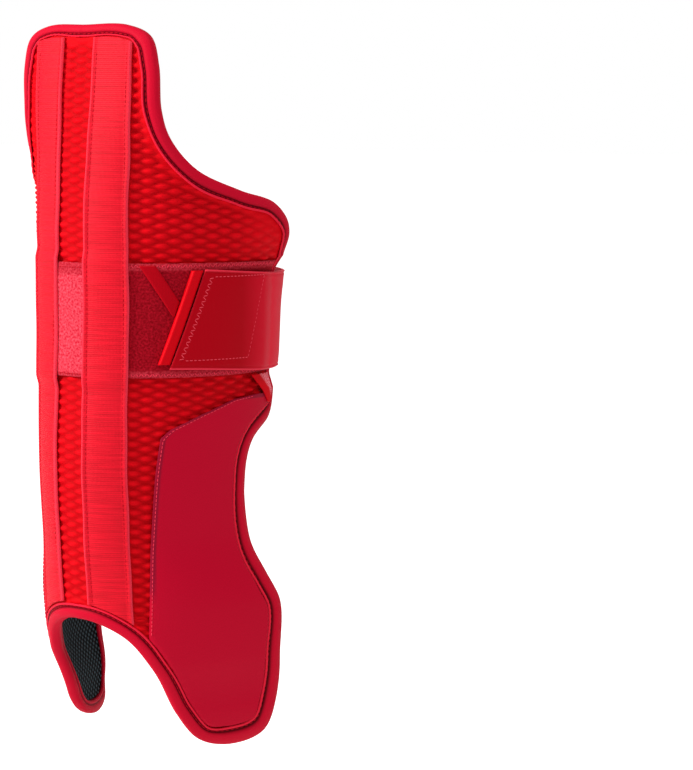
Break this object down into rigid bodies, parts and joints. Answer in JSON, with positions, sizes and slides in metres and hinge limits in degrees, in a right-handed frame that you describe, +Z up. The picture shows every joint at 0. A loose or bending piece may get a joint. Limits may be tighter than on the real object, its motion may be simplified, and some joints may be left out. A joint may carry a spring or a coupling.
{
  "type": "catcher leg guard",
  "caption": "Soft padded wrap guard for the shin, with a knee tab, calf wings, ankle lobes, shin bands and an elastic strap round the open back.",
  "frame": {"origin": "on the axis of the leg that wears it, at the height of the calf strap's middle", "axes": "+Z up the leg to the knee, -Y ahead of the shin, +X the side where the strap closes"},
  "size_m": [0.1504, 0.1554, 0.4102],
  "materials": {
    "padded_mesh": "puffy red mesh knit over foam",
    "lining": "black knitted lining",
    "binding": "folded red binding with a stitched ridge",
    "elastic": "ribbed red elastic",
    "loop": "brushed dark red loop",
    "tape": "smooth bright red tape",
    "coated_panel": "smooth burgundy synthetic leather",
    "strap": "satin crimson elastic webbing"
  },
  "bodies": {
    "root": {"pad_shell": "padded_mesh", "inner_lining": "lining", "edge_binding": "binding", "shin_band_near": "elastic", "shin_band_far": "elastic", "loop_panel": "loop", "diagonal_tape": "tape", "wing_gusset_near": "tape", "wing_gusset_far": "tape", "ankle_panel_near": "coated_panel", "ankle_panel_far": "coated_panel", "calf_strap": "strap", "hook_pad": "loop", "pull_tab": "tape"}
  },
  "joints": []
}
